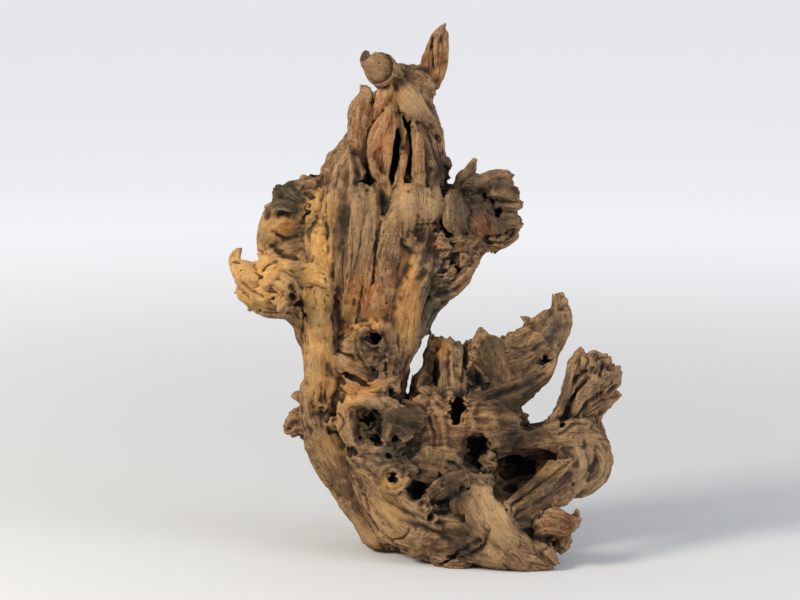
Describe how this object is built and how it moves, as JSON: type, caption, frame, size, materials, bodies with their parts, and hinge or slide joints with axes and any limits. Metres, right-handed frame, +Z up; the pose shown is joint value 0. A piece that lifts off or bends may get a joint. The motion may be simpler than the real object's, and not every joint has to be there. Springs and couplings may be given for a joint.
{
  "type": "dry root",
  "caption": "Dry weathered tree root standing on its base: a fluted trunk with an ear-like spike, ragged arms, knobs, hollows and a spreading cluster of gnarled branches to one side.",
  "frame": {"origin": "middle of the root's box on the ground, under the flat sole that it stands on", "axes": "+Z up along the trunk, +X to the right of the near side, towards the cluster of arms; the near side faces -Y"},
  "size_m": [0.5864, 0.2918, 0.7926],
  "materials": {
    "weathered_wood": "dry, bare, weathered and fibrous, matt"
  },
  "bodies": {
    "root": {"dry_root": "weathered_wood"}
  },
  "joints": []
}
